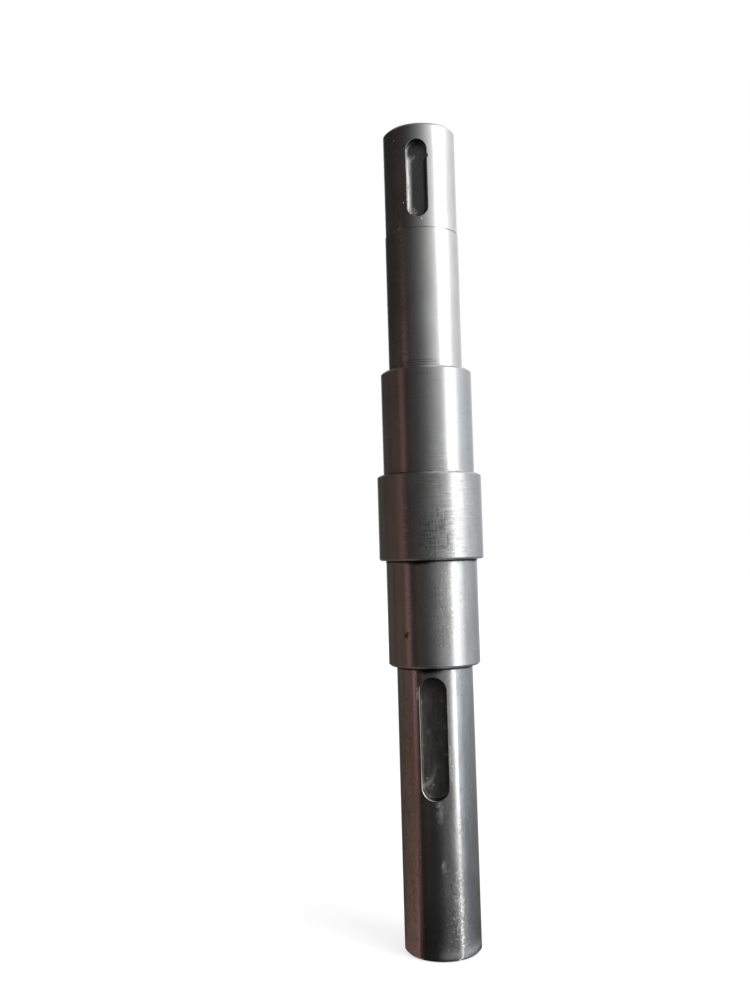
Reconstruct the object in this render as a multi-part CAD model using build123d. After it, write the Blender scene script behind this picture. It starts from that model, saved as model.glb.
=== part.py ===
from build123d import *

import math
import os

# A stepped drive shaft turned from one steel bar, with a collar, two seats and two keyways.
# Sizes are in millimetres. The shaft stands on its lower end, at the origin: Z runs along its
# axis, and both keyways face -Y.

# Diameter and length of each land, from the lower end of the shaft to the upper end.
drive_end_diameter = 29.0
drive_end_length = 106.5
lower_seat_diameter = 35.0
lower_seat_length = 40.0
collar_diameter = 40.0
collar_length = 32.5
upper_seat_diameter = 35.0
upper_seat_length = 40.0
plain_land_diameter = 28.4
plain_land_length = 53.0
hub_end_diameter = 28.0
hub_end_length = 41.0

# Broken corners, and the radius that the turning tool leaves at the foot of each shoulder.
end_chamfer = 1.0
seat_chamfer = 0.8
collar_chamfer = 0.6
shoulder_radius = 0.5

# Fine run-out groove cut into the plain land and the hub end where they meet.
groove_width = 0.5
groove_depth = 0.3

# Keyway of the drive end, for a parallel key. The gap runs from the lower seat to its round end.
drive_key_width = 10.0
drive_key_length = 45.0
drive_key_depth = 5.0
drive_key_gap = 3.5

# Keyway of the hub end. The gap runs from the upper end face to its round end.
hub_key_width = 8.0
hub_key_length = 30.0
hub_key_depth = 4.0
hub_key_gap = 6.5

# Shallow pit where the cutter was plunged into the bar, at the upper end of the hub keyway.
pit_diameter = 7.5
pit_depth = 0.5

# Corner radius of the keyway cutter.
keyway_floor_radius = 0.4

# Lathe centre holes in both ends: a countersink that leads into a drilled pilot.
centre_mouth_diameter = 6.7
centre_pilot_diameter = 3.15
centre_pilot_length = 3.5
countersink_angle = 60.0
drill_tip_angle = 118.0

# Heights of the shoulders above the lower end face.
lower_seat_foot = drive_end_length
collar_foot = lower_seat_foot + lower_seat_length
upper_seat_foot = collar_foot + collar_length
plain_land_foot = upper_seat_foot + upper_seat_length
hub_end_foot = plain_land_foot + plain_land_length
shaft_length = hub_end_foot + hub_end_length
groove_diameter = min(hub_end_diameter, plain_land_diameter) - 2 * groove_depth

# The half section is drawn in the plane through both keyways: outwards to -Y, and up.
section_plane = Plane(origin=(0, 0, 0), x_dir=(0, -1, 0), z_dir=(-1, 0, 0))

# Each land from below: its diameter and the height of its top.
lands = [
    (drive_end_diameter, lower_seat_foot),
    (lower_seat_diameter, collar_foot),
    (collar_diameter, upper_seat_foot),
    (upper_seat_diameter, plain_land_foot),
    (plain_land_diameter, hub_end_foot),
    (groove_diameter, hub_end_foot + groove_width),
    (hub_end_diameter, shaft_length),
]

# Each shoulder: its height, the diameters below and above it, and the chamfer on its free corner.
shoulders = [
    (lower_seat_foot, drive_end_diameter, lower_seat_diameter, seat_chamfer),
    (collar_foot, lower_seat_diameter, collar_diameter, collar_chamfer),
    (upper_seat_foot, collar_diameter, upper_seat_diameter, collar_chamfer),
    (plain_land_foot, upper_seat_diameter, plain_land_diameter, seat_chamfer),
]


def corner_at(section, diameter, height):
    """The corner of the half section that lies at this diameter and height."""
    return min(section.vertices(), key=lambda v: math.hypot(v.X - diameter / 2, v.Y - height))


def turned_blank():
    """The half section of all lands, with broken corners and rounded roots, turned about Z."""
    outline = [(0.0, 0.0)]
    foot = 0.0
    for diameter, top in lands:
        outline += [(diameter / 2, foot), (diameter / 2, top)]
        foot = top
    outline.append((0.0, shaft_length))

    with BuildPart() as blank:
        with BuildSketch(section_plane) as section:
            with BuildLine():
                Polyline(*outline, close=True)
            make_face()
            chamfer(corner_at(section, drive_end_diameter, 0.0), length=end_chamfer)
            chamfer(corner_at(section, hub_end_diameter, shaft_length), length=end_chamfer)
            for height, below, above, free_chamfer in shoulders:
                # The shoulder's face is as wide as the step, so a low step takes smaller corners.
                face_width = abs(above - below) / 2
                free_corner = min(free_chamfer, face_width / 2)
                root = min(shoulder_radius, face_width / 3)
                chamfer(corner_at(section, max(below, above), height), length=free_corner)
                fillet(corner_at(section, min(below, above), height), radius=root)
        revolve(axis=Axis.Z)
    return blank.part


def keyway_cutter(land_diameter, width, length, depth, middle):
    """The space an end mill clears: a slot with round ends, centred on a height, open to -Y."""
    floor = land_diameter / 2 - depth
    across = Plane(origin=(0, -floor, middle), x_dir=(0, 0, 1), z_dir=(0, -1, 0))
    blank = extrude(across * SlotOverall(length, width), 2 * depth)
    floor_edges = blank.faces().sort_by(Axis.Y)[-1].edges()
    return fillet(floor_edges, radius=keyway_floor_radius)


def plunge_pit():
    """The pit under the upper round end of the hub keyway, on the axis of that end."""
    floor = hub_end_diameter / 2 - hub_key_depth - pit_depth
    height = shaft_length - hub_key_gap - hub_key_width / 2
    across = Plane(origin=(0, -floor, height), x_dir=(0, 0, 1), z_dir=(0, -1, 0))
    return extrude(across * Circle(pit_diameter / 2), hub_key_depth)


def centre_hole():
    """The lathe centre hole of the lower end face, pointing up into the bar."""
    mouth, pilot = centre_mouth_diameter / 2, centre_pilot_diameter / 2
    cone = (mouth - pilot) / math.tan(math.radians(countersink_angle / 2))
    drilled = cone + centre_pilot_length
    tip = drilled + pilot / math.tan(math.radians(drill_tip_angle / 2))
    outline = Polyline((0, 0), (mouth, 0), (pilot, cone), (pilot, drilled), (0, tip), close=True)
    return revolve(section_plane * make_face(outline), axis=Axis.Z)


shaft = turned_blank()

drive_key_middle = lower_seat_foot - drive_key_gap - drive_key_length / 2
shaft -= keyway_cutter(
    drive_end_diameter, drive_key_width, drive_key_length, drive_key_depth, drive_key_middle
)

hub_key_middle = shaft_length - hub_key_gap - hub_key_length / 2
shaft -= keyway_cutter(hub_end_diameter, hub_key_width, hub_key_length, hub_key_depth, hub_key_middle)
shaft -= plunge_pit()

shaft -= centre_hole()
shaft -= Pos(0, 0, shaft_length) * Rot(180, 0, 0) * centre_hole()

os.makedirs("parts", exist_ok=True)
export_step(shaft, "parts/shaft.step")
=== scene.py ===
# %% [markdown]
# # A stepped drive shaft, turned and ground from one steel bar
# The real shaft starts as a round bar. A lathe turns its six lands, a grinder finishes the two
# bearing seats beside the collar, and a milling cutter sinks one keyway near each end. This
# lesson goes the same way: a half section is spun into the bar, two cutters sink the keyways,
# and the rest of the work is the finish, because bare steel shows little but its surroundings.

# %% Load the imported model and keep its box
import math

import bmesh
import bpy
from mathutils import Matrix, Vector


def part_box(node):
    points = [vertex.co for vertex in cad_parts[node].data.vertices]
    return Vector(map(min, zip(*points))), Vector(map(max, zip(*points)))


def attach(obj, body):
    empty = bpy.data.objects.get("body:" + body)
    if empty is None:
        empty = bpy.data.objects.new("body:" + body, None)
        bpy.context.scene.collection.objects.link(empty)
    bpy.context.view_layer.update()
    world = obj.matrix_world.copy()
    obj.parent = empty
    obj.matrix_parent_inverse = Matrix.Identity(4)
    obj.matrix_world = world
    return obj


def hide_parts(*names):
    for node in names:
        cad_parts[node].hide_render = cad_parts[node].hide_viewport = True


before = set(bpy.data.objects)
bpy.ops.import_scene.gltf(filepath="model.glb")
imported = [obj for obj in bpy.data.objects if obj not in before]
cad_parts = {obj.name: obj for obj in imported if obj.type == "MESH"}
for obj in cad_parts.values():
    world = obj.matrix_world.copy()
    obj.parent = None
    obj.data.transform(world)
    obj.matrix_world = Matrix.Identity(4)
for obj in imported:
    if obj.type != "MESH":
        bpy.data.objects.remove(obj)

scene = bpy.context.scene
scene.view_settings.view_transform = "Standard"
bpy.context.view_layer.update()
foot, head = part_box("shaft")
mm = 0.001
print("CAD box in mm", [round(c / mm, 1) for c in foot], [round(c / mm, 1) for c in head])

# %% [markdown]
# ## The sizes of the shaft
# A turner reads a shaft from its drawing as a row of diameters and the heights where they
# change. The same driving sizes stand here in millimetres, and each shoulder's height is the sum
# of the lengths below it, so one changed length moves everything above it, as it would on the
# lathe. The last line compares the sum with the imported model.

# %% The lands, from the foot of the shaft to its head
DRIVE_END = {"diameter": 29.0, "length": 106.5}
LOWER_SEAT = {"diameter": 35.0, "length": 40.0}
COLLAR = {"diameter": 40.0, "length": 32.5}
UPPER_SEAT = {"diameter": 35.0, "length": 40.0}
PLAIN_LAND = {"diameter": 28.4, "length": 53.0}
HUB_END = {"diameter": 28.0, "length": 41.0}

height = 0.0
for land in (DRIVE_END, LOWER_SEAT, COLLAR, UPPER_SEAT, PLAIN_LAND, HUB_END):
    land["radius"] = land["diameter"] / 2
    land["foot"] = height
    height += land["length"]
    land["head"] = height
SHAFT_LENGTH = height
print("length", SHAFT_LENGTH, "mm, the packed model has", round(head.z / mm, 3))

# %% [markdown]
# A few small sizes finish the drawing: broken corners, the radius that the turning tool leaves at
# the foot of each shoulder, a fine run-out groove, and a centre hole in each end, on which the
# bar turned between the lathe's centres.

# %% Corners, groove and centre holes
END_CHAMFER = 1.0
SEAT_CHAMFER = 0.8
COLLAR_CHAMFER = 0.6
SHOULDER_RADIUS = 0.5
GROOVE_WIDTH = 0.5
GROOVE_DEPTH = 0.3
CENTRE_MOUTH = 6.7 / 2
CENTRE_PILOT = 3.15 / 2
PILOT_LENGTH = 3.5
COUNTERSINK_ANGLE = 60
DRILL_TIP_ANGLE = 118
CENTRE_CONE = (CENTRE_MOUTH - CENTRE_PILOT) / math.tan(math.radians(COUNTERSINK_ANGLE / 2))
CENTRE_DRILLED = CENTRE_CONE + PILOT_LENGTH
CENTRE_TIP = CENTRE_DRILLED + CENTRE_PILOT / math.tan(math.radians(DRILL_TIP_ANGLE / 2))
print("centre holes are", round(CENTRE_TIP, 2), "mm deep")

# %% [markdown]
# ## The turned bar
# Everything on this shaft that is not a keyway is round, so it could be modelled as stacked
# cylinders, but those leave buried end faces and no broken corners. A half section that is spun
# once round the axis is closer to the lathe: one skin with every chamfer, root radius, groove
# and centre hole in it. Each corner names its own finish, and the bevel operator cuts it on the
# flat line, where it cannot go wrong.

# %% The half section as corners: radius, height, size of the corner's finish, steps in it
CHAMFER, ROUND = 1, 5
groove_radius = HUB_END["radius"] - GROOVE_DEPTH
top = SHAFT_LENGTH
half_section = [
    (0, CENTRE_TIP, 0, 0),
    (CENTRE_PILOT, CENTRE_DRILLED, 0, 0),
    (CENTRE_PILOT, CENTRE_CONE, 0, 0),
    (CENTRE_MOUTH, 0, 0, 0),
    (DRIVE_END["radius"], 0, END_CHAMFER, CHAMFER),
    (DRIVE_END["radius"], DRIVE_END["head"], SHOULDER_RADIUS, ROUND),
    (LOWER_SEAT["radius"], LOWER_SEAT["foot"], SEAT_CHAMFER, CHAMFER),
    (LOWER_SEAT["radius"], LOWER_SEAT["head"], SHOULDER_RADIUS, ROUND),
    (COLLAR["radius"], COLLAR["foot"], COLLAR_CHAMFER, CHAMFER),
    (COLLAR["radius"], COLLAR["head"], COLLAR_CHAMFER, CHAMFER),
    (UPPER_SEAT["radius"], UPPER_SEAT["foot"], SHOULDER_RADIUS, ROUND),
    (UPPER_SEAT["radius"], UPPER_SEAT["head"], SEAT_CHAMFER, CHAMFER),
    (PLAIN_LAND["radius"], PLAIN_LAND["foot"], SHOULDER_RADIUS, ROUND),
    (PLAIN_LAND["radius"], PLAIN_LAND["head"], 0, 0),
    (groove_radius, HUB_END["foot"], 0, 0),
    (groove_radius, HUB_END["foot"] + GROOVE_WIDTH, 0, 0),
    (HUB_END["radius"], HUB_END["foot"] + GROOVE_WIDTH, 0, 0),
    (HUB_END["radius"], top, END_CHAMFER, CHAMFER),
    (CENTRE_MOUTH, top, 0, 0),
    (CENTRE_PILOT, top - CENTRE_CONE, 0, 0),
    (CENTRE_PILOT, top - CENTRE_DRILLED, 0, 0),
    (0, top - CENTRE_TIP, 0, 0),
]
print(len(half_section), "corners")

# %% Draw the half section, finish its corners and spin it
AROUND = 288
ROW = 2.5


def turned_bar():
    """The whole skin of the bar, spun from its half section."""
    bar = bmesh.new()
    line = [bar.verts.new((radius * mm, 0, z * mm)) for radius, z, size, steps in half_section]
    for lower, upper in zip(line, line[1:]):
        bar.edges.new((lower, upper))
    for vertex, (radius, z, size, steps) in zip(line, half_section):
        if steps:
            bmesh.ops.bevel(bar, geom=[vertex], offset=size * mm, offset_type="OFFSET",
                            segments=steps, profile=0.5, affect="VERTICES", material=-1)
    for edge in list(bar.edges):
        rows = int(edge.calc_length() / (ROW * mm))
        if rows:
            bmesh.ops.subdivide_edges(bar, edges=[edge], cuts=rows)
    bmesh.ops.spin(bar, geom=bar.verts[:] + bar.edges[:], cent=(0, 0, 0), axis=(0, 0, 1),
                   dvec=(0, 0, 0), angle=2 * math.pi, steps=AROUND, use_merge=True)
    bmesh.ops.remove_doubles(bar, verts=bar.verts, dist=0.0001 * mm)
    bmesh.ops.recalc_face_normals(bar, faces=bar.faces)
    return bar


def as_object(shape, name):
    """A bmesh as an object in the scene, with its place in its mesh."""
    mesh = bpy.data.meshes.new(name)
    shape.to_mesh(mesh)
    shape.free()
    made = bpy.data.objects.new(name, mesh)
    scene.collection.objects.link(made)
    return made


shaft = as_object(turned_bar(), "turned_shaft")
print("turned bar:", len(shaft.data.polygons), "faces")

# %% [markdown]
# ## The keyways
# A keyway is the track of an end mill: as wide as the cutter, with its round ends, a flat floor
# and a corner as round as the cutter's own was worn. The hub keyway was cut with a badly worn
# one. Its floor climbs to the wall in a long arc, which catches the light along the left edge,
# and its finish paints that strip brighter still. A keyway could be drawn into the bar by hand,
# but subtracting the cutter's track with a Boolean gives the exact curved mouth for free.

# %% Sizes of the keyways, and of the shallow pit where the hub keyway's cutter was plunged
# The pit is round, but a track has two ends, so it is a hair longer than it is wide.
DRIVE_KEY = {"width": 10.0, "length": 45.0, "depth": 5.0, "gap": 3.5, "worn": 0.4, "arc": 90,
             "break": 0.14}
HUB_KEY = {"width": 8.0, "length": 30.0, "depth": 4.0, "gap": 6.5, "worn": 3.3, "arc": 40,
           "break": 0.04}
PIT = {"width": 7.5, "length": 7.51, "depth": 0.5, "worn": 0.2, "arc": 90}
for key, land in ((DRIVE_KEY, DRIVE_END), (HUB_KEY, HUB_END)):
    key["middle"] = land["head"] - key["gap"] - key["length"] / 2
    key["floor"] = land["radius"] - key["depth"]
PIT["middle"] = HUB_KEY["middle"] + (HUB_KEY["length"] - HUB_KEY["width"]) / 2
PIT["floor"] = HUB_KEY["floor"] - PIT["depth"]
print("keyways are centred at", DRIVE_KEY["middle"], "and", HUB_KEY["middle"], "mm")

# %% [markdown]
# A stadium is a circle pulled apart at its middle, so that is how a track starts. Its face is a
# lid, which is raised a step at a time: out and up round the worn corner, straight up the wall,
# and out again through a narrow flare where it leaves the round land. The flare breaks the sharp
# edge of the mouth, as a file does.

# %% Raise a track by one step
CUTTER_STEPS = 96
CORNER_STEPS = 8


def raise_lid(track, lid, place, keep=False):
    """Extrudes the lid, sends each of its new corners to its place, and gives the new lid."""
    swept = bmesh.ops.extrude_face_region(track, geom=[lid], use_keep_orig=True)
    if not keep:
        bmesh.ops.delete(track, geom=[lid], context="FACES_ONLY")
    for vertex in swept["geom"]:
        if isinstance(vertex, bmesh.types.BMVert):
            vertex.co = place(vertex.co)
    return next(f for f in swept["geom"] if isinstance(f, bmesh.types.BMFace))


print("a track has", CUTTER_STEPS, "sides and", CORNER_STEPS, "steps round its worn corner")


# %% The track of an end mill
def cutter_track(name, key, land_radius=None):
    """The space that an end mill clears, open towards -Y, with the corner of a worn cutter."""
    worn, arc = key["worn"], math.radians(key["arc"])
    straight = (key["length"] - key["width"]) / 2 * mm
    track = bmesh.new()
    bmesh.ops.create_circle(track, cap_ends=True, segments=CUTTER_STEPS,
                            radius=(key["width"] / 2 - worn * math.sin(arc)) * mm)
    # With half a step of turn, each corner of the circle belongs to one end of the stadium.
    half_step = Matrix.Rotation(math.pi / CUTTER_STEPS, 3, "Z")
    bmesh.ops.rotate(track, verts=track.verts, matrix=half_step)
    for vertex in track.verts:
        vertex.co.y += math.copysign(straight, vertex.co.y)
    bmesh.ops.translate(track, verts=track.verts, vec=(0, 0, key["floor"] * mm))

    def grown(place, out, up):
        end = Vector((0, math.copysign(straight, place.y), place.z))
        return place + (place - end).normalized() * out * mm + Vector((0, 0, up * mm))

    def on_round(place, out, radius):
        place = grown(place, out, 0)
        return Vector((place.x, place.y, math.sqrt(radius ** 2 - place.x ** 2)))

    lid = track.faces[:][0]
    for step in range(CORNER_STEPS):
        before, after = arc * step / CORNER_STEPS, arc * (step + 1) / CORNER_STEPS
        out = worn * (math.sin(after) - math.sin(before))
        up = worn * (math.cos(before) - math.cos(after))
        lid = raise_lid(track, lid, lambda c: grown(c, out, up), keep=step == 0)
    if land_radius is None:
        raise_lid(track, lid, lambda c: grown(c, 0, key["width"] / 2))
    else:
        inner, outer = (land_radius - key["break"]) * mm, (land_radius + key["break"]) * mm
        lid = raise_lid(track, lid, lambda c: on_round(c, 0, inner))
        flare = set(lid.verts)
        lid = raise_lid(track, lid, lambda c: on_round(c, 2 * key["break"], outer))
        flare.update(lid.verts)
        raise_lid(track, lid, lambda c: Vector((c.x, c.y, outer + mm)))
        for face in track.faces:
            face.material_index = int(set(face.verts) <= flare)
    bmesh.ops.rotate(track, verts=track.verts, matrix=Matrix.Rotation(math.pi / 2, 3, "X"))
    bmesh.ops.translate(track, verts=track.verts, vec=(0, 0, key["middle"] * mm))
    bmesh.ops.recalc_face_normals(track, faces=track.faces)
    return as_object(track, name)


# %% Make the three cutters
drive_track = cutter_track("drive_track", DRIVE_KEY, DRIVE_END["radius"])
hub_track = cutter_track("hub_track", HUB_KEY, HUB_END["radius"])
plunge = cutter_track("plunge", PIT)
print("cutters:", [o.name for o in (drive_track, hub_track, plunge)])

# %% [markdown]
# ## The materials
# Bare steel is one metal with many finishes. What changes from land to land is how rough it is
# and which way the marks run, so a painted colour for each land would look like plastic. Here a
# finish is a clean metal that grows one mark at a time, each from a short helper with its own
# scale and strength. Every pattern sits on object coordinates, in grains for each millimetre.

# %% Helpers for node trees
def new_tree(name):
    """A fresh material, its tree and its Principled shader."""
    material = bpy.data.materials.new(name)
    material.use_nodes = True
    return material, material.node_tree, material.node_tree.nodes["Principled BSDF"]


def add(tree, kind, inputs=None, **settings):
    """One node: its settings, and its inputs as constants or as sockets to link."""
    made = tree.nodes.new(kind)
    for key, value in settings.items():
        setattr(made, key, value)
    for key, value in (inputs or {}).items():
        if isinstance(value, bpy.types.NodeSocket):
            tree.links.new(value, made.inputs[key])
        else:
            made.inputs[key].default_value = value
    return made


def noise(tree, place, stretch, detail=3.0, rough=0.55, offset=(0, 0, 0)):
    """Noise on object coordinates: stretch is how many grains there are in each millimetre."""
    scale = [s / mm for s in stretch]
    mapped = add(tree, "ShaderNodeMapping", {"Vector": place, "Scale": scale, "Location": offset})
    grains = add(tree, "ShaderNodeTexNoise",
                 {"Vector": mapped.outputs["Vector"], "Scale": 1.0, "Detail": detail,
                  "Roughness": rough})
    return grains.outputs["Fac"]


def between(tree, value, low, high, to_low=0.0, to_high=1.0):
    """A value from low to high, spread from to_low to to_high and held there beyond."""
    spread = add(tree, "ShaderNodeMapRange",
                 {"Value": value, "From Min": low, "From Max": high, "To Min": to_low,
                  "To Max": to_high})
    return spread.outputs["Result"]


def times(tree, first, second):
    """Two shares multiplied."""
    return add(tree, "ShaderNodeMath", {0: first, 1: second}, operation="MULTIPLY").outputs[0]


def blend_colour(tree, share, first, second):
    """Two colours, mixed by a share."""
    mixed = add(tree, "ShaderNodeMix", data_type="RGBA")
    for socket, value in ((mixed.inputs[0], share), (mixed.inputs[6], first),
                          (mixed.inputs[7], second)):
        if isinstance(value, bpy.types.NodeSocket):
            tree.links.new(value, socket)
        else:
            socket.default_value = value
    return mixed.outputs[2]


print("helpers:", [f.__name__ for f in (new_tree, add, noise, between, times, blend_colour)])

# %% [markdown]
# A lathe leaves rings round the shaft, so light spreads along the axis and stays sharp across it.
# The shader's anisotropy does that at any distance, where modelled rings would need millions of
# faces. It needs a tangent along the axis: the place crossed with the axis runs round the shaft,
# and that crossed with the normal runs along whatever surface is there, chamfers and ends too.

# %% Start a finish, and end it
PATCH = (0.12, 0.12, 0.06)


def start_finish(name, grey, rough, anisotropy):
    """Clean bare steel in patches of two tones, whose reflections spread along the axis."""
    material, tree, shader = new_tree(name)
    place = add(tree, "ShaderNodeTexCoord").outputs["Object"]
    normal = add(tree, "ShaderNodeNewGeometry").outputs["Normal"]
    around = add(tree, "ShaderNodeVectorMath", {0: (0, 0, 1), 1: place}, operation="CROSS_PRODUCT")
    along = add(tree, "ShaderNodeVectorMath", {0: around.outputs[0], 1: normal},
                operation="CROSS_PRODUCT")
    tree.links.new(along.outputs[0], shader.inputs["Tangent"])
    shader.inputs["Metallic"].default_value = 1.0
    shader.inputs["Anisotropic"].default_value = anisotropy
    patch = noise(tree, place, PATCH, detail=3)
    light = (grey * 1.04, grey * 1.05, grey * 1.06, 1)
    dark = (grey * 0.90, grey * 0.89, grey * 0.88, 1)
    return {"material": material, "tree": tree, "shader": shader, "place": place, "normal": None,
            "colour": blend_colour(tree, between(tree, patch, 0.35, 0.65), dark, light),
            "rough": between(tree, patch, 0.3, 0.7, rough * 0.94, rough * 1.07)}


def finished(finish):
    """Wires the last colour, roughness and normal to the shader."""
    tree, shader = finish["tree"], finish["shader"]
    tree.links.new(finish["colour"], shader.inputs["Base Color"])
    tree.links.new(finish["rough"], shader.inputs["Roughness"])
    if finish["normal"]:
        tree.links.new(finish["normal"], shader.inputs["Normal"])
    print(finish["material"].name, "has", len(tree.nodes), "nodes")
    return finish["material"]


print("the steel has two tones, in patches about", round(1 / PATCH[0]), "mm wide")


# %% Raise a surface, or tint it
def bump(finish, height, depth):
    """Raises the surface by a pattern, on top of what was raised before."""
    raised = add(finish["tree"], "ShaderNodeBump", {"Height": height, "Distance": depth * mm})
    if finish["normal"]:
        finish["tree"].links.new(finish["normal"], raised.inputs["Normal"])
    finish["normal"] = raised.outputs["Normal"]


def stain(finish, share, colour, rough=None):
    """Tints the steel where the share is high, and can dull or polish it there."""
    finish["colour"] = blend_colour(finish["tree"], share, finish["colour"], (*colour, 1))
    if rough:
        mixed = add(finish["tree"], "ShaderNodeMix", {0: share, 2: finish["rough"], 3: rough})
        finish["rough"] = mixed.outputs[0]


def rings(finish, per_mm, depth, length=0.05):
    """Marks that a turning tool or a grinding wheel leaves round the shaft."""
    bump(finish, noise(finish["tree"], finish["place"], (length, length, per_mm), detail=4), depth)


def drawn_marks(finish, per_mm, depth):
    """Faint marks along the shaft, from sliding hubs and bearings on and off."""
    bump(finish, noise(finish["tree"], finish["place"], (per_mm, per_mm, 0.03), detail=2,
                       offset=(3, 1, 4)), depth)


def grain(finish, per_mm, depth):
    """A fine even grain that breaks up the edge of a highlight."""
    bump(finish, noise(finish["tree"], finish["place"], (per_mm,) * 3, detail=3, rough=0.65), depth)


def streaks(finish, per_mm, least, strength, grey, share=1.0, offset=(5, 2, 8), tint=(1, 1, 1)):
    """Darker or lighter threads: the peaks of a stretched noise, laid on as a tone."""
    tree = finish["tree"]
    thread = noise(tree, finish["place"], per_mm, detail=4, rough=0.65, offset=offset)
    stain(finish, times(tree, between(tree, thread, least, least + 0.12, 0.0, strength), share),
          [grey * part for part in tint])


def faced_steel():
    finish = start_finish("faced_steel", 0.55, 0.36, 0.5)
    rings(finish, 1.6, 0.003)
    return finished(finish)


end_faces = faced_steel()

# %% [markdown]
# ## Marks that lie at a place
# Rust, nicks and dirt aren't spread evenly: each has its place on a land. A turner would point to
# it by how far round and how high it is, so a place is given as degrees from the keyways and
# millimetres up. The distance from it makes a share, one at the place and nothing far away, and
# noise on that distance gives the mark a ragged edge.

# %% Find a place on a land, and mark it
def on_land(land, turn, height):
    """A place on a land, in metres: degrees from the keyways towards +X, and millimetres up."""
    way = math.radians(turn)
    return (land["radius"] * math.sin(way) * mm, -land["radius"] * math.cos(way) * mm, height * mm)


def distance(finish, place, shares):
    """How far a point is from a place, with each direction counted by its share."""
    tree = finish["tree"]
    off = add(tree, "ShaderNodeVectorMath", {0: finish["place"], 1: place}, operation="SUBTRACT")
    off = add(tree, "ShaderNodeVectorMath", {0: off.outputs[0], 1: shares}, operation="MULTIPLY")
    return add(tree, "ShaderNodeVectorMath", {0: off.outputs[0]}, operation="LENGTH").outputs["Value"]


def made_ragged(finish, off, grains, reach, detail=3.0):
    """A distance that runs ahead or lags behind by up to a reach."""
    tree = finish["tree"]
    edge = between(tree, noise(tree, finish["place"], (grains,) * 3, detail=detail), 0.3, 0.7,
                   -reach * mm, reach * mm)
    return add(tree, "ShaderNodeMath", {0: off, 1: edge}, operation="ADD").outputs[0]


def around_place(finish, place, reach, stretch=1.0, ragged=0.5):
    """A share that is 1 at a place and fades to 0, longer along the shaft than across it."""
    off = distance(finish, place, (1, 1, 1 / stretch))
    off = made_ragged(finish, off, 0.9, ragged * reach, detail=4)
    return between(finish["tree"], off, reach * 0.5 * mm, reach * mm, 1.0, 0.0)


def pits(finish, per_mm, least, depth, shade=0.5):
    """Scattered small pits: the peaks of a noise, sunk and stained."""
    tree = finish["tree"]
    dots = noise(tree, finish["place"], (per_mm,) * 3, detail=2, offset=(7, 3, 5))
    speck = between(tree, dots, least, least + 0.05)
    bump(finish, between(tree, dots, least, least + 0.05, 1.0, 0.0), depth)
    stain(finish, times(tree, speck, shade), (0.09, 0.07, 0.055))


def roughened(finish, share, per_mm, depth):
    """Torn, gritty metal where the share is high."""
    tree = finish["tree"]
    grit = noise(tree, finish["place"], per_mm, detail=4, rough=0.7, offset=(2, 9, 6))
    bump(finish, times(tree, grit, share), depth)


print("30 degrees round the collar is at", [round(c / mm, 1) for c in on_land(COLLAR, 30, 160)])

# %% The hub end: finely turned, with a nick beside its keyway and a few specks
SPECKS = ((-40.0, 307.5), (-24.0, 282.5), (4.0, 275.5), (-35.0, 272.5), (-32.0, 273.0))
NICK = on_land(HUB_END, 17.0, 300.0)


def hub_end_steel():
    finish = start_finish("hub_end_steel", 0.57, 0.28, 0.70)
    rings(finish, 1.6, 0.004)
    drawn_marks(finish, 0.8, 0.0018)
    streaks(finish, (1.1, 1.1, 0.04), 0.60, 0.25, 0.30)
    pits(finish, 1.1, 0.74, 0.02)
    for turn, height in SPECKS:
        share = around_place(finish, on_land(HUB_END, turn, height), 0.42, ragged=0.3)
        bump(finish, share, 0.3)
    nick = around_place(finish, NICK, 0.9)
    roughened(finish, nick, (1.8, 1.8, 1.8), 0.10)
    stain(finish, nick, (0.10, 0.08, 0.08), 0.5)
    return finished(finish)


hub_end = hub_end_steel()

# %% [markdown]
# ## Painted shade in the roots of the shoulders
# A shoulder keeps light off the land right beside it, so a dark band lies in its root. It could
# be a thin dark ring of its own, but such a band has no thickness that the eye can see, so it is
# painted shade: a stain that fades with the height above the root. On the plain land three faint
# lines of the same kind stand above each other, where a sleeve has stopped; those are marks.

# %% The plain land: turned, darker on its left, with lines where a sleeve stopped
DARKER_SIDE = on_land(PLAIN_LAND, -62.0, 246.0)
HANDLED = on_land(PLAIN_LAND, -6.0, PLAIN_LAND["foot"] + 2)
SLEEVE_LINES = (0.9, 1.8, 2.7)


def shade_and_grime_line(finish, height, reach, ragged=0.35, share=1.0):
    """Painted shade in the root of a shoulder, and a sleeve's faint dark line, each fading over its
    reach from that height.
    """
    tree = finish["tree"]
    off = distance(finish, (0, 0, height * mm), (0, 0, 1))
    off = made_ragged(finish, off, 0.3, ragged * reach)
    line = between(tree, off, reach * 0.6 * mm, reach * 1.2 * mm, 1.0, 0.0)
    stain(finish, times(tree, line, share), (0.012, 0.010, 0.010), 0.6)


def plain_land_steel():
    finish = start_finish("plain_land_steel", 0.57, 0.32, 0.68)
    rings(finish, 1.6, 0.005)
    drawn_marks(finish, 0.7, 0.002)
    streaks(finish, (0.9, 0.9, 0.03), 0.60, 0.25, 0.34)
    streaks(finish, (0.06, 0.06, 1.3), 0.58, 0.20, 0.36)
    # a darker patch on the left side of the land
    darkened = around_place(finish, DARKER_SIDE, 11.0, 4.0)
    stain(finish, times(finish["tree"], darkened, 0.45), (0.32, 0.30, 0.29))
    handled = around_place(finish, HANDLED, 8.0)
    for step in SLEEVE_LINES:
        shade_and_grime_line(finish, PLAIN_LAND["foot"] + step, 0.13, share=times(finish["tree"], handled, 0.5))
    # painted shade in the root of the plain land
    shade_and_grime_line(finish, PLAIN_LAND["foot"], 0.35)
    return finished(finish)


plain_land = plain_land_steel()

# %% [markdown]
# ## The two ground seats and the collar
# A grinding wheel brings the seats to size and leaves a soft sheen on them: thousands of short
# scratches, all round the shaft. The collar was only turned, so its rings are coarse enough to
# count. Where the light just misses the steel, such marks show as bright and dark dashes, and
# those are laid on as tones, because bumps that small would vanish at the camera's distance.

# %% The upper seat: ground, with dashes where it turns into the light
UPPER_SEAT_DASHES = on_land(UPPER_SEAT, 18.0, 186.0)


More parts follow.
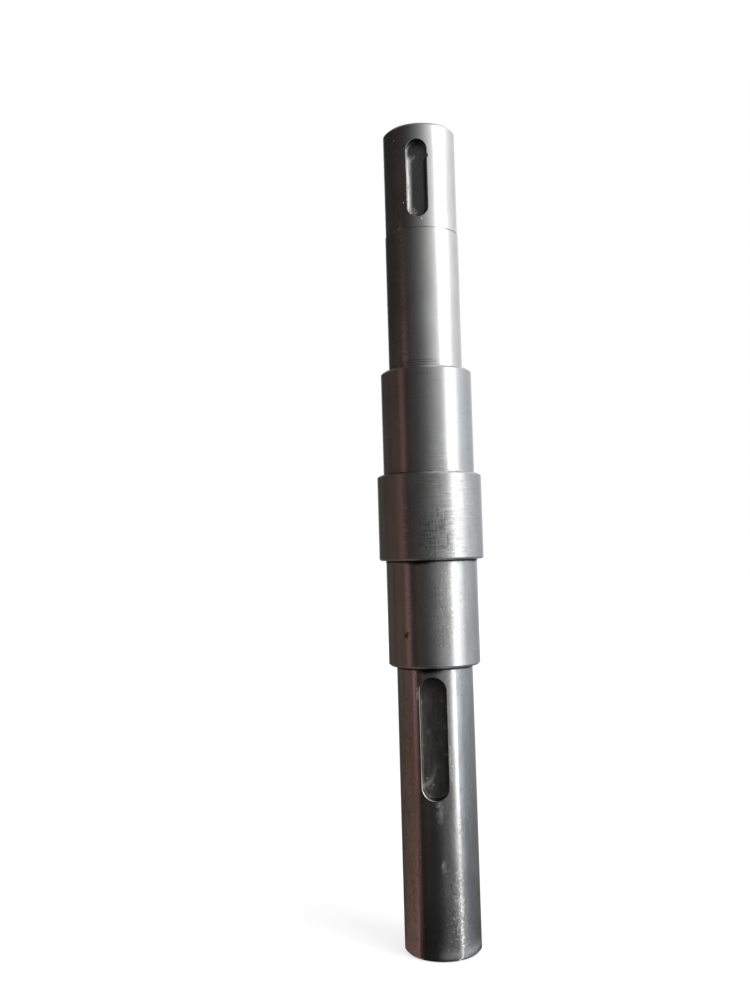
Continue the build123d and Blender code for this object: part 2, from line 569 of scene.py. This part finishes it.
def upper_seat_steel():
    finish = start_finish("upper_seat_steel", 0.57, 0.385, 0.95)
    rings(finish, 1.8, 0.010)
    drawn_marks(finish, 0.8, 0.002)
    streaks(finish, (0.07, 0.07, 1.1), 0.56, 0.30, 0.34)
    streaks(finish, (0.9, 0.9, 0.03), 0.60, 0.22, 0.34)
    pits(finish, 1.0, 0.71, 0.02)
    lit = around_place(finish, UPPER_SEAT_DASHES, 5.5, 1.5)
    streaks(finish, (0.2, 0.2, 1.5), 0.52, 0.45, 0.30, lit)
    streaks(finish, (0.2, 0.2, 1.5), 0.54, 0.45, 0.85, lit, offset=(1, 6, 3))
    # painted shade in the root above the collar
    shade_and_grime_line(finish, UPPER_SEAT["foot"], 0.35)
    return finished(finish)


upper_seat = upper_seat_steel()

# %% The collar: coarse rings, and a crosshatched scuff
COLLAR_DASHES = on_land(COLLAR, 24.0, 167.0)
COLLAR_GLINTS = on_land(COLLAR, -23.0, 160.0)
SCUFF = on_land(COLLAR, 13.0, 155.0)


def collar_steel():
    finish = start_finish("collar_steel", 0.57, 0.43, 0.91)
    rings(finish, 1.0, 0.05, length=0.12)
    drawn_marks(finish, 0.8, 0.003)
    lit = around_place(finish, COLLAR_DASHES, 15.0, 2.5)
    streaks(finish, (0.16, 0.16, 1.2), 0.52, 0.50, 0.28, lit)
    streaks(finish, (0.14, 0.14, 1.1), 0.54, 0.50, 0.85, lit, offset=(1, 6, 3))
    streaks(finish, (0.9, 0.9, 0.04), 0.58, 0.30, 0.30)
    scuffed = around_place(finish, SCUFF, 8.0, 1.3)
    streaks(finish, (1.9, 1.9, 0.18), 0.48, 0.65, 0.16, scuffed)
    streaks(finish, (0.25, 0.25, 1.6), 0.50, 0.6, 0.18, scuffed, offset=(4, 4, 4))
    glints = around_place(finish, COLLAR_GLINTS, 1.7, 8.0)
    streaks(finish, (0.15, 0.15, 1.6), 0.50, 0.5, 0.90, glints)
    # a thin painted dark line at the collar's top edge
    shade_and_grime_line(finish, COLLAR["head"], 0.1)
    return finished(finish)


collar = collar_steel()

# %% The lower seat: ground and grainy, with a rust spot and painted shade under the collar
SEAT_SPARKLE = on_land(LOWER_SEAT, 24.0, 128.0)
SEAT_GLINTS = on_land(LOWER_SEAT, -25.0, 128.0)
SEAT_PAINTED_SHADE = on_land(LOWER_SEAT, -12.0, 146.8)
RUST_SPOT = on_land(LOWER_SEAT, -31.0, 118.5)


def lower_seat_steel():
    finish = start_finish("lower_seat_steel", 0.57, 0.34, 0.97)
    rings(finish, 1.8, 0.006)
    drawn_marks(finish, 0.8, 0.0025)
    grain(finish, 1.8, 0.0016)
    streaks(finish, (1.0, 1.0, 0.05), 0.57, 0.35, 0.30)
    lit = around_place(finish, SEAT_SPARKLE, 9.0, 2.5)
    streaks(finish, (1.6, 1.6, 0.8), 0.50, 0.50, 0.24, lit)
    streaks(finish, (1.5, 1.5, 0.9), 0.54, 0.65, 1.0, lit, offset=(9, 9, 1))
    glints = around_place(finish, SEAT_GLINTS, 1.9, 9.0)
    streaks(finish, (0.15, 0.15, 1.6), 0.50, 0.45, 0.90, glints)
    # painted shade: a dark smear below the collar, where the collar keeps the light off the seat
    painted_shade = around_place(finish, SEAT_PAINTED_SHADE, 8.0, 0.33, ragged=0.12)
    stain(finish, painted_shade, (0.05, 0.04, 0.04))
    pits(finish, 1.2, 0.70, 0.02)
    stain(finish, around_place(finish, RUST_SPOT, 1.1, 1.6), (0.28, 0.20, 0.13), 0.5)
    # painted shadow of the collar on the top of the lower seat
    shade_and_grime_line(finish, LOWER_SEAT["head"], 0.85, 0.2)
    return finished(finish)


lower_seat = lower_seat_steel()

# %% [markdown]
# ## The drive end
# This land is the most polished one, so its bright line is narrow, and every small dent beside
# the line sparkles. A tone can't sparkle, because the steel round it reflects a dark room. The
# sparks are raised dots with steep sides: the noise is cut off just above its middle, and the
# sides of each dot turn far enough to find the window.

# %% The drive end: polished, with sparks beside its bright line and a burr at the keyway
DRIVE_END_GRIT = ((5.0, 55.0, 1.7, 4.5, 0.045), (9.0, 34.0, 1.2, 2.5, 0.04),
                  (23.0, 72.0, 1.7, 4.0, 0.045), (24.0, 30.0, 6.0, 5.0, 0.010))
SHADY_SIDE = on_land(DRIVE_END, -55.0, 50.0)
BRIGHT_LINE = on_land(DRIVE_END, 30.0, 14.0)
BURR = on_land(DRIVE_END, -23.5, 97.0)
DRIVE_END_PAINTED_SHADE = on_land(DRIVE_END, -4.0, 106.5)


def speckled(finish, share, per_mm, depth):
    """Small raised dots with steep sides, which catch a light that the flat steel misses."""
    tree = finish["tree"]
    dots = noise(tree, finish["place"], per_mm, detail=4, rough=0.7, offset=(6, 1, 9))
    bump(finish, times(tree, between(tree, dots, 0.50, 0.60), share), depth)


def drive_end_steel():
    finish = start_finish("drive_end_steel", 0.56, 0.22, 1.0)
    rings(finish, 1.6, 0.003)
    drawn_marks(finish, 0.5, 0.0006)
    grain(finish, 2.0, 0.0010)
    streaks(finish, (1.3, 1.3, 0.35), 0.57, 0.35, 0.28)
    streaks(finish, (1.6, 1.6, 1.0), 0.58, 0.50, 1.0, offset=(9, 9, 1))
    shady = around_place(finish, SHADY_SIDE, 9.0, 8.0)
    streaks(finish, (0.5, 0.5, 0.2), 0.50, 0.8, 0.40, shady, (2, 2, 6), (1.12, 0.92, 0.88))
    lit = around_place(finish, BRIGHT_LINE, 5.5, 3.5)
    streaks(finish, (1.7, 1.7, 1.3), 0.50, 0.65, 0.22, lit, offset=(4, 1, 7))
    streaks(finish, (1.5, 1.5, 1.3), 0.52, 0.85, 1.0, lit, offset=(9, 1, 2))
    pits(finish, 1.4, 0.68, 0.02)
    burr = around_place(finish, BURR, 0.9, 3.5)
    speckled(finish, burr, (1.2, 1.2, 0.8), 0.15)
    stain(finish, burr, (1.0, 0.92, 0.90), 0.5)
    for turn, height, reach, stretch, depth in DRIVE_END_GRIT:
        share = around_place(finish, on_land(DRIVE_END, turn, height), reach, stretch)
        speckled(finish, share, (1.9, 1.9, 1.5), depth)
    # painted shadow of the shoulder above, a dark wedge over the top of the keyway
    painted_shade = around_place(finish, DRIVE_END_PAINTED_SHADE, 7.0, 0.38, ragged=0.12)
    stain(finish, painted_shade, (0.05, 0.04, 0.035))
    # painted shadow of the lower seat's shoulder on the top of the drive end
    shade_and_grime_line(finish, DRIVE_END["head"], 0.9, 0.2)
    return finished(finish)


drive_end = drive_end_steel()

# %% [markdown]
# ## The milled steel of the keyways
# A milling cutter's marks are short and cross each other, so the floors spread the light evenly
# and have no anisotropy. Their grey is painted darker than the lands', as shade in the recesses.
# A few places are bright. Torn steel is a real mark, and the rest is painted light: a strip over
# the hub keyway's worn corner, the left of the drive keyway's floor, and a crescent of painted
# highlight at the drive keyway's lower end, laid as a stain on a ring round a place beside it.
# The drive keyway's right walls and its top are painted dark as shade.

# %% The hub keyway: a painted strip of light on its left, and gritty in the pit and at its lower end
HUB_FLOOR = -HUB_KEY["floor"] * mm
HUB_KEYWAY_GRIT = ((-2.6, 300.5, 1.7, 0.10), (0.9, 303.5, 0.8, 0.08), (-2.2, 279.5, 1.9, 0.12),
                   (-2.0, 277.6, 1.1, 0.12))


def place_parts(finish):
    """The place's own X, Y and Z."""
    return add(finish["tree"], "ShaderNodeSeparateXYZ", {"Vector": finish["place"]}).outputs


def hub_keyway_steel():
    # the dark grey of the milled steel is painted shade of the recess
    finish = start_finish("hub_keyway_steel", 0.15, 0.31, 0.0)
    grain(finish, 1.0, 0.006)
    tree, part = finish["tree"], place_parts(finish)
    # painted light: a bright strip on the floor beside the left wall, where the light falls
    painted_light_strip = times(tree, between(tree, part["X"], -3.4 * mm, -2.2 * mm, 1.0, 0.0),
                   between(tree, part["Y"], HUB_FLOOR + 0.1 * mm, HUB_FLOOR + 0.3 * mm, 1.0, 0.0))
    stain(finish, painted_light_strip, (0.40, 0.40, 0.40), 0.36)
    streaks(finish, (0.8, 0.8, 0.15), 0.52, 0.6, 0.09)
    for x, z, reach, depth in HUB_KEYWAY_GRIT:
        share = around_place(finish, (x * mm, HUB_FLOOR, z * mm), reach)
        roughened(finish, share, (1.8, 1.8, 1.8), depth * 1.5)
        streaks(finish, (1.6, 1.6, 1.6), 0.46, 0.9, 0.48, share, tint=(1.1, 0.95, 0.92))
    return finished(finish)


hub_keyway = hub_keyway_steel()

# %% The drive keyway: faint marks across it, painted light on its left, a painted crescent highlight and painted shade
DRIVE_FLOOR = -DRIVE_KEY["floor"] * mm
TORN_END = (-2.4 * mm, DRIVE_FLOOR, 63.4 * mm)
CRESCENT_CENTRE = (-5.2 * mm, DRIVE_FLOOR, 69.5 * mm)


def arc_mark(finish, place, radius, width, stretch):
    """A share along an arc round a place, used for a painted crescent highlight."""
    tree = finish["tree"]
    off = distance(finish, place, (1, 0, 1 / stretch))
    return times(tree, between(tree, off, (radius - width) * mm, radius * mm),
                 between(tree, off, radius * mm, (radius + width) * mm, 1.0, 0.0))


def drive_keyway_steel():
    # the dark grey of the milled steel is painted shade of the recess
    finish = start_finish("drive_keyway_steel", 0.24, 0.46, 0.0)
    rings(finish, 0.7, 0.02, length=0.2)
    grain(finish, 1.2, 0.006)
    tree, part = finish["tree"], place_parts(finish)
    # painted light on the left of the floor, where light reaches past the right wall
    stain(finish, between(tree, part["X"], -2.0 * mm, 0.0, 1.0, 0.0), (0.30, 0.285, 0.255))
    streaks(finish, (0.6, 0.6, 0.12), 0.50, 0.5, 0.12)
    streaks(finish, (0.5, 0.5, 0.25), 0.55, 0.5, 0.60, offset=(8, 3, 3))
    torn = around_place(finish, TORN_END, 1.7, 1.5)
    roughened(finish, torn, (1.8, 1.8, 1.2), 0.06)
    streaks(finish, (1.2, 1.2, 0.8), 0.44, 0.9, 0.95, torn)
    # painted highlight: a bright crescent at the keyway's lower end
    painted_crescent = times(tree, arc_mark(finish, CRESCENT_CENTRE, 4.7, 1.0, 1.45),
                   between(tree, part["Z"], 64 * mm, 73 * mm, 0.8, 0.0))
    stain(finish, painted_crescent, (0.95, 0.95, 0.95), 0.4)
    # painted shade on the right walls and on the corner round the floor
    deep = between(tree, part["Y"], DRIVE_FLOOR - 0.15 * mm, DRIVE_FLOOR - 0.02 * mm, 1.0, 0.0)
    shaded = times(tree, between(tree, part["X"], -2.5 * mm, 0.0), deep)
    stain(finish, shaded, (0.06, 0.06, 0.06))
    # painted shade at the top of the keyway, under the shoulder
    stain(finish, between(tree, part["Z"], 94 * mm, 102 * mm, 0.0, 0.8), (0.07, 0.06, 0.06))
    return finished(finish)


drive_keyway = drive_keyway_steel()

# %% [markdown]
# ## The broken edges of the mouths
# A filed edge is rubbed clean, so it shines beside the dark keyway, and its grey, lighter than bare
# steel's, paints a brighter glint. The right edges are painted dark as shade, so only the left
# edges shine. The drive keyway's is duller above its lower end, and painted black at its top as
# the shadow of the shoulder above it. So the edge is stained by place.

# %% The broken edges
EDGE_SHADE_FROM = 99.0
EDGE_DULL_FROM = 66.0
DRIVE_KEYWAY_UP_TO = 150.0


def broken_edge_steel():
    # a grey lighter than bare steel's paints a brighter glint on the edge
    finish = start_finish("broken_edge_steel", 0.80, 0.36, 0.0)
    grain(finish, 1.2, 0.02)
    tree, part = finish["tree"], place_parts(finish)
    # painted shade: the right edges are darkened, so only the left edges shine
    stain(finish, between(tree, part["X"], -0.5 * mm, 1.5 * mm), (0.14, 0.14, 0.14))
    on_drive = between(tree, part["Z"], DRIVE_KEYWAY_UP_TO * mm, (DRIVE_KEYWAY_UP_TO + 1) * mm,
                       1.0, 0.0)
    # painted shade at the top of the drive keyway's edge, under the shoulder
    darkened = between(tree, part["Z"], EDGE_SHADE_FROM * mm, (EDGE_SHADE_FROM + 1) * mm)
    stain(finish, times(tree, darkened, on_drive), (0.10, 0.09, 0.09))
    dull = between(tree, part["Z"], EDGE_DULL_FROM * mm, (EDGE_DULL_FROM + 4) * mm)
    stain(finish, times(tree, times(tree, dull, on_drive), 0.6), (0.22, 0.19, 0.18))
    return finished(finish)


broken_edge = broken_edge_steel()

# %% [markdown]
# ## Cutting the keyways and giving each face its finish
# The Boolean can hand the cutter's material to the faces that it cuts, which marks the milled
# faces for free. The turned faces are then told apart by their height and by which way they
# look. Near a keyway the Boolean leaves slivers, whose averaged normals would bend a reflection,
# so each corner of a round land is given the normal of a true cylinder.

# %% Cut
for finish in (hub_end, plain_land, upper_seat, collar, lower_seat, drive_end, end_faces):
    shaft.data.materials.append(finish)
for track, milled in ((drive_track, drive_keyway), (hub_track, hub_keyway), (plunge, hub_keyway)):
    track.data.materials.append(milled)
    track.data.materials.append(broken_edge)


def cut(body, tool):
    """Takes the tool's space out of the body and drops the tool."""
    difference = body.modifiers.new("cut", "BOOLEAN")
    difference.operation = "DIFFERENCE"
    difference.solver = "EXACT"
    difference.material_mode = "TRANSFER"
    difference.object = tool
    seen = body.evaluated_get(bpy.context.evaluated_depsgraph_get())
    body_mesh = bpy.data.meshes.new_from_object(seen)
    body.modifiers.clear()
    body.data = body_mesh
    bpy.data.objects.remove(tool)


for track in (drive_track, hub_track, plunge):
    cut(shaft, track)
slots = [m.name for m in shaft.data.materials]
print("after the cuts:", len(shaft.data.polygons), "faces, slots", slots)

# %% Name each face's finish
LAND_FINISHES = ((drive_end, DRIVE_END), (lower_seat, LOWER_SEAT), (collar, COLLAR),
                 (upper_seat, UPPER_SEAT), (plain_land, PLAIN_LAND), (hub_end, HUB_END))
not_turned = {slots.index(m.name) for m in (hub_keyway, drive_keyway, broken_edge)}
for face in shaft.data.polygons:
    face.use_smooth = True
    if face.material_index in not_turned:
        continue
    if abs(face.normal.z) > 0.5:
        face.material_index = slots.index(end_faces.name)
    else:
        finish = next(f for f, land in LAND_FINISHES if face.center.z <= land["head"] * mm)
        face.material_index = slots.index(finish.name)
for index, name in enumerate(slots):
    print(name, "on", sum(f.material_index == index for f in shaft.data.polygons), "faces")

# %% Keep the round lands truly round, and hand the shaft to the frame
SHARP_ANGLE = 25
shaft.data.set_sharp_from_angle(angle=math.radians(SHARP_ANGLE))
corner_normals = [Vector(n.vector) for n in shaft.data.corner_normals]
for face in shaft.data.polygons:
    if face.material_index not in not_turned and abs(face.normal.z) < 0.02:
        for corner in face.loop_indices:
            place = shaft.data.vertices[shaft.data.loops[corner].vertex_index].co
            corner_normals[corner] = Vector((place.x, place.y, 0)).normalized()
shaft.data.normals_split_custom_set(corner_normals)
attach(shaft, "root")
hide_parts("shaft")
print("corners with a normal of their own:", len(corner_normals))

# %% [markdown]
# ## The studio
# A polished shaft is a mirror wrapped round a bar, so its look is its room. The camera stands
# where the photographer stood: about level with the middle of the shaft, and close to it. A far
# camera with a long lens would be simpler, but the curves of the shoulders would come out flat.
# Its place was found by fitting the outline of the six lands.

# %% Camera at the photograph's viewing angle
EYE = Vector((29.8, -398.6, 148.2)) * mm
HEADING, PITCH, ROLL = math.radians(7.3), math.radians(3.14), math.radians(-1.62)
LENS = 37.24
camera = bpy.data.objects.new("camera", bpy.data.cameras.new("camera"))
scene.collection.objects.link(camera)
camera.data.lens = LENS
camera.data.clip_start = 0.01
turn = Matrix.Rotation(HEADING, 4, "Z") @ Matrix.Rotation(math.pi / 2 + PITCH, 4, "X")
camera.matrix_world = Matrix.Translation(EYE) @ turn @ Matrix.Rotation(ROLL, 4, "Z")
scene.camera = camera
print("camera", [round(c, 3) for c in EYE], "lens", LENS)

# %% [markdown]
# A white background could come from strong lamps, but they would bleach the steel too. The air is
# white only where the camera or a reflection looks straight at it, and lights everything else
# softly. The floor is matt paper with a glow of its own, weaker round the shaft, so that the
# shaft's shadow stays on it.

# %% White air behind the object, soft light for everything else
AIR_LIGHT = 0.6
world = bpy.data.worlds.new("studio")
scene.world = world
world.use_nodes = True
air = world.node_tree
seen_by = add(air, "ShaderNodeLightPath")
direct = add(air, "ShaderNodeMath", {0: seen_by.outputs["Is Camera Ray"],
                                     1: seen_by.outputs["Is Glossy Ray"]}, operation="MAXIMUM")
direct = add(air, "ShaderNodeMath", {0: direct.outputs[0],
                                     1: seen_by.outputs["Is Transmission Ray"]},
             operation="MAXIMUM")
air.nodes["Background"].inputs["Color"].default_value = (1, 1, 1, 1)
air.links.new(between(air, direct.outputs[0], 0.0, 1.0, AIR_LIGHT, 1.0),
              air.nodes["Background"].inputs["Strength"])
print("the air has", len(air.nodes), "nodes")

# %% The floor: white, with the shaft's own soft shadow
FLOOR_HALF = 4.0
PAPER = (0.45, 0.45, 0.45, 1)
GLOW_NEAR, GLOW_FAR = 0.62, 1.0
NEAR, FAR = 0.4, 1.2

floor_shape = bmesh.new()
bmesh.ops.create_grid(floor_shape, x_segments=2, y_segments=2, size=FLOOR_HALF)
floor = as_object(floor_shape, "floor")
paper, paper_tree, paper_shader = new_tree("floor_paper")
paper_shader.inputs["Base Color"].default_value = PAPER
paper_shader.inputs["Roughness"].default_value = 0.9
paper_shader.inputs["Specular IOR Level"].default_value = 0.0
paper_shader.inputs["Emission Color"].default_value = (1, 1, 1, 1)
place = add(paper_tree, "ShaderNodeTexCoord").outputs["Object"]
away = add(paper_tree, "ShaderNodeVectorMath", {0: place}, operation="LENGTH").outputs["Value"]
paper_tree.links.new(between(paper_tree, away, NEAR, FAR, GLOW_NEAR, GLOW_FAR),
                     paper_shader.inputs["Emission Strength"])
floor.data.materials.append(paper)
print("floor", floor.dimensions.x, "m wide")

# %% [markdown]
# ## The light tent
# Photographers put shiny things in a tent of cloth, so that the steel reflects only what they
# choose. This tent is a drum round the shaft that nothing but a reflection sees. It is painted by
# direction, and each height has a colour ramp of its own: a bright window to the right, grey
# walls beyond it, a dark room to the left, with a brown board in it that draws a rusty stripe.
# Behind the shaft the walls are pale again, which lights the rims of the lands and the back.

# %% Colours by direction: degrees to the right of the camera's side, level, and maybe a tint
TENT_STRENGTH = 4.6
PLAIN, COOL, OLIVE = (1, 1, 1), (0.92, 1.0, 1.12), (1.03, 1.0, 0.88)
RUST, PINK = (1.36, 0.88, 0.70), (1.55, 0.82, 0.74)

ROOF = [(-180, 0.30), (-120, 0.02), (-40, 0.02), (0, 0.3), (40, 1.0), (100, 1.0), (150, 0.6),
        (180, 0.30)]
HIGH = [(-180, 1.5), (-166, 1.5), (-159, 0.10), (-145, 0.02), (-60, 0.02), (-45, 0.04), (-30, 0.07),
        (-15, 0.17), (0, 0.31), (15, 0.60), (30, 1.0), (47, 1.5), (55, 4.6), (78, 4.6), (88, 1.9),
        (105, 1.35), (130, 0.95), (158, 0.95), (166, 1.5), (180, 1.5)]
LOW = [(-180, 1.2), (-166, 1.2), (-159, 0.12), (-145, 0.07), (-130, 0.12, OLIVE),
       (-120, 0.14, OLIVE), (-113, 0.05, RUST), (-106, 0.11, RUST), (-90, 0.14, RUST),
       (-80, 0.13, RUST), (-73, 0.09, RUST), (-69, 0.46, PINK), (-60, 0.38, PINK),
       (-55, 0.08, PINK), (-50, 0.03), (-34, 0.15, RUST), (-25, 0.07), (-12, 0.05), (0, 0.09),
       (15, 0.19), (30, 0.33), (50, 0.48), (59, 1.35), (65, 1.3), (70, 1.0, COOL),
       (76, 0.86, COOL), (90, 0.80, COOL), (105, 0.76, COOL), (130, 0.55, COOL),
       (158, 0.6, COOL), (166, 1.2), (180, 1.2)]
print("ramps of", len(ROOF), len(HIGH), len(LOW), "stops for the roof and the walls")

# %% [markdown]
# The floor of the tent is closer, and a reflection of it slides as the eye moves down the shaft.
# So it has one ramp near the foot and one further off, both centred on the line where a polished
# bar seems to gather its reflections: about two thirds of the radius from the axis, towards the
# camera. A narrow ring lies right below the collar, for its lower chamfer, which looks down at it.

# %% Colours of the tent's floor
FOCUS = 0.62 * DRIVE_END["radius"]
FLOOR_FAR = [(-180, 0.6), (-166, 0.6), (-158, 0.05), (-128, 0.07, RUST), (-112, 0.085, RUST),
             (-76, 0.085, RUST), (-71, 0.11, PINK), (-64, 0.10, PINK), (-58, 0.03), (-8, 0.03),
             (5, 0.05), (15, 0.10), (32, 0.13), (40, 0.22), (46, 0.60), (51, 1.4), (57, 2.6),
             (64, 2.6), (66, 0.62), (80, 0.40, COOL), (90, 0.34, COOL), (130, 0.29), (160, 0.28),
             (168, 0.6), (180, 0.6)]
FLOOR_NEAR = [(-180, 0.11), (-150, 0.05), (-128, 0.09, RUST), (-112, 0.125, RUST),
              (-84, 0.14, RUST), (-80, 0.19, PINK), (-74, 0.19, PINK), (-71, 0.01), (-8, 0.01),
              (5, 0.02), (15, 0.045), (32, 0.045), (50, 0.06), (58, 0.07), (59.5, 1.7), (62, 1.7),
              (63.5, 0.16), (80, 0.115, COOL), (90, 0.10, COOL), (130, 0.095), (180, 0.11)]
FLOOR_RING = [(-180, 0.2), (-105, 0.12, RUST), (-60, 0.25, PINK), (-48, 0.03), (-10, 0.05),
              (8, 0.8), (60, 1.6), (90, 0.8), (110, 0.2), (180, 0.2)]
print("ramps of", len(FLOOR_FAR), len(FLOOR_NEAR), len(FLOOR_RING), "stops for the floor")

# %% The drum of the tent, seen only by reflections
TENT_RADIUS = 0.9
TENT_WALL = 1.3
TENT_PEAK = 1.5
TENT_FLOOR = 0.05 * mm
TENT_HOLE = 13.5 * mm

tent_shape = bmesh.new()
outline = ((TENT_HOLE, 0, TENT_FLOOR), (TENT_RADIUS, 0, TENT_FLOOR), (TENT_RADIUS, 0, TENT_WALL),
           (0, 0, TENT_PEAK))
path = [tent_shape.verts.new(p) for p in outline]
for a, b in zip(path, path[1:]):
    tent_shape.edges.new((a, b))
bmesh.ops.spin(tent_shape, geom=tent_shape.verts[:] + tent_shape.edges[:], cent=(0, 0, 0),
               axis=(0, 0, 1), dvec=(0, 0, 0), angle=2 * math.pi, steps=96, use_merge=True)
tent = as_object(tent_shape, "light_tent")
tent.visible_camera = False
tent.visible_diffuse = False
tent.visible_shadow = False
tent.visible_transmission = False
print("tent:", len(tent.data.polygons), "faces")

# %% [markdown]
# The cloth could be painted with a picture of a room, but ramps keep every colour in plain sight.
# Three things choose a colour: the direction of a place, its distance from the foot and its
# height. Each ramp gives way to the next over a short span, so that no seam shows in the steel.

# %% Measure each place on the cloth
TO_CAMERA = math.degrees(math.atan2(EYE.x, -EYE.y))
cloth, cloth_tree, cloth_shader = new_tree("tent_cloth")
cloth_tree.nodes.remove(cloth_shader)


def direction(tree, place):
    """The direction of a place round the axis, from 0 to 1."""
    return add(tree, "ShaderNodeTexGradient", {"Vector": place}, gradient_type="RADIAL").outputs["Fac"]


tent_place = add(cloth_tree, "ShaderNodeTexCoord").outputs["Object"]
facing = add(cloth_tree, "ShaderNodeMapping",
             {"Vector": tent_place, "Rotation": (0, 0, math.radians(90 - TO_CAMERA))})
shifted = add(cloth_tree, "ShaderNodeMapping",
              {"Vector": facing.outputs["Vector"], "Location": (-FOCUS * mm, 0, 0)})
angle = direction(cloth_tree, facing.outputs["Vector"])
underfoot = direction(cloth_tree, shifted.outputs["Vector"])
away = add(cloth_tree, "ShaderNodeVectorMath", {0: tent_place}, operation="LENGTH").outputs["Value"]
rise = add(cloth_tree, "ShaderNodeSeparateXYZ", {"Vector": tent_place}).outputs["Z"]
print("the camera stands", round(TO_CAMERA, 2), "degrees to the right of the keyways")

# %% Paint the cloth, from the floor to the roof
FLOOR_BLEND = (0.02, 0.35)
RING_INNER, RING_OUTER = (18.6 * mm, 19.2 * mm), (20.4 * mm, 21.0 * mm)
WALL_FOOT, WALL_MIDDLE, WALL_HEAD = (0.0, 0.06), (0.12, 0.40), (1.0, 1.25)


def direction_ramp(tree, angle, stops):
    """The colours of a ramp, by the direction that an angle from 0 to 1 gives."""
    ramp = add(tree, "ShaderNodeValToRGB", {"Fac": angle})
    elements = ramp.color_ramp.elements
    elements.remove(elements[-1])
    for index, (degrees, level, *tint) in enumerate(stops):
        stop = elements.new((degrees + 180) / 360) if index else elements[0]
        stop.color = [level * part / TENT_STRENGTH for part in (tint[0] if tint else PLAIN)] + [1]
    return ramp.outputs["Color"]


ground = blend_colour(cloth_tree, between(cloth_tree, away, *FLOOR_BLEND),
                      direction_ramp(cloth_tree, underfoot, FLOOR_NEAR),
                      direction_ramp(cloth_tree, underfoot, FLOOR_FAR))
ring_share = times(cloth_tree, between(cloth_tree, away, *RING_INNER),
                   between(cloth_tree, away, *RING_OUTER, 1.0, 0.0))
ground = blend_colour(cloth_tree, ring_share, ground,
                      direction_ramp(cloth_tree, angle, FLOOR_RING))
low = blend_colour(cloth_tree, between(cloth_tree, rise, *WALL_FOOT), ground,
                   direction_ramp(cloth_tree, angle, LOW))
high = blend_colour(cloth_tree, between(cloth_tree, rise, *WALL_HEAD),
                    direction_ramp(cloth_tree, angle, HIGH), direction_ramp(cloth_tree, angle, ROOF))
whole = blend_colour(cloth_tree, between(cloth_tree, rise, *WALL_MIDDLE), low, high)
glow = add(cloth_tree, "ShaderNodeEmission", {"Color": whole, "Strength": TENT_STRENGTH})
cloth_tree.links.new(glow.outputs["Emission"],
                     cloth_tree.nodes["Material Output"].inputs["Surface"])
tent.data.materials.append(cloth)
print("tent cloth has", len(cloth_tree.nodes), "nodes")

# %% [markdown]
# The lamps are for the floor alone, because the tent already stands for every light that the
# steel reflects. The stronger one is to the right, where the window is, so the shadow falls to
# the left. Wide lamps give it a soft edge.

# %% Two soft lamps for the floor and its shadow
LAMP_TARGET = Vector((0, 0, 0.1))


def soft_lamp(name, place, size, power):
    """A square lamp that looks at the shaft and that reflections don't see."""
    lamp = bpy.data.objects.new(name, bpy.data.lights.new(name, "AREA"))
    scene.collection.objects.link(lamp)
    lamp.data.shape = "SQUARE"
    lamp.data.size = size
    lamp.data.energy = power
    lamp.location = place
    lamp.rotation_euler = (LAMP_TARGET - Vector(place)).to_track_quat("-Z", "Y").to_euler()
    lamp.visible_glossy = False
    return lamp


for lamp in (soft_lamp("key_lamp", (0.9, -0.6, 1.3), 0.8, 14),
             soft_lamp("fill_lamp", (-0.9, -0.8, 1.2), 1.0, 5)):
    print(lamp.name, lamp.data.energy, "W")
